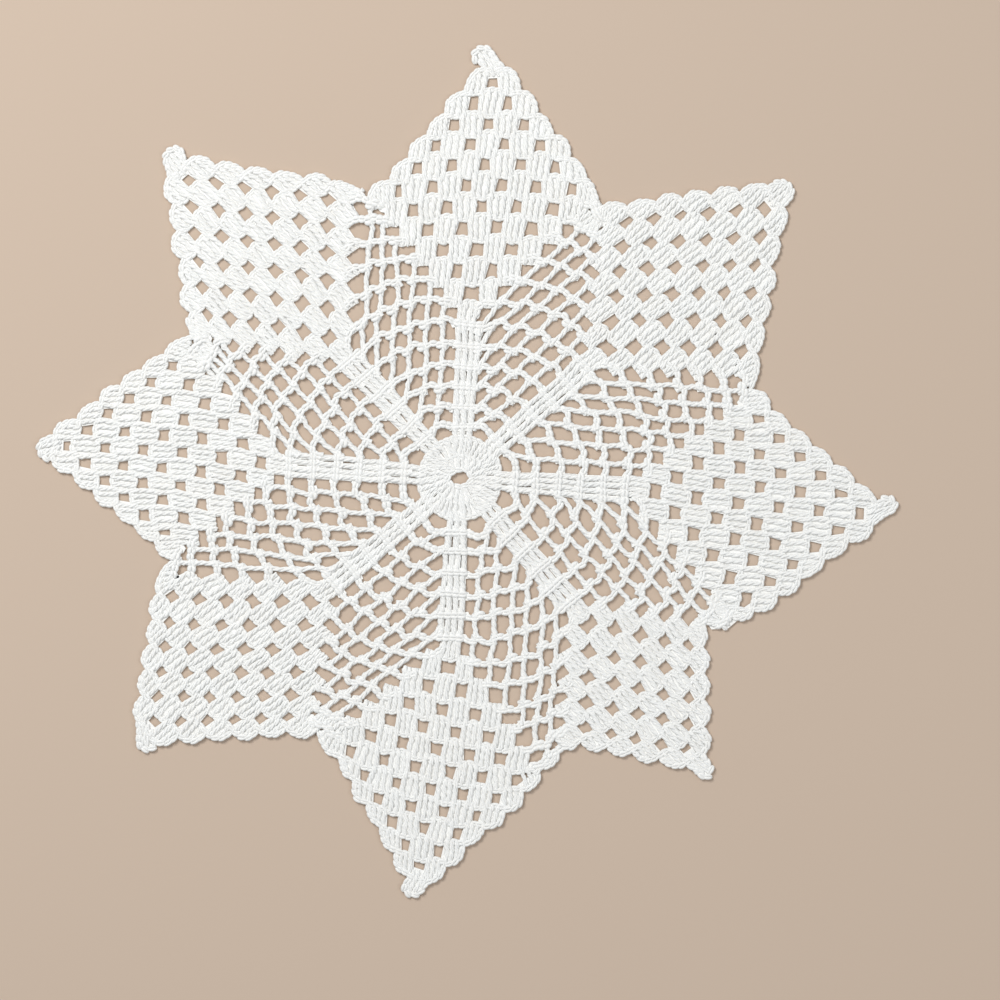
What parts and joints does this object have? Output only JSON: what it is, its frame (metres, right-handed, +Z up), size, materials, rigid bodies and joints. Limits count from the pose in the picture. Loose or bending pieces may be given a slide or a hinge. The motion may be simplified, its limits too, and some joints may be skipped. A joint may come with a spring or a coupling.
{
  "type": "lace doily",
  "caption": "Flat crocheted cotton doily: an eight-pointed star of solid ribs, open net sectors and pierced diamonds with a scalloped edge, to lie on a table.",
  "frame": {"origin": "middle of the outline's own box, on the underside that lies on the table", "axes": "+Z up, out of the face that shows; +Y towards one point of the star, +X towards the point two places clockwise from it"},
  "size_m": [0.3006, 0.2974, 0.0016],
  "materials": {
    "cotton": "white mercerised crochet cotton"
  },
  "bodies": {
    "root": {"doily": "cotton"}
  },
  "joints": []
}
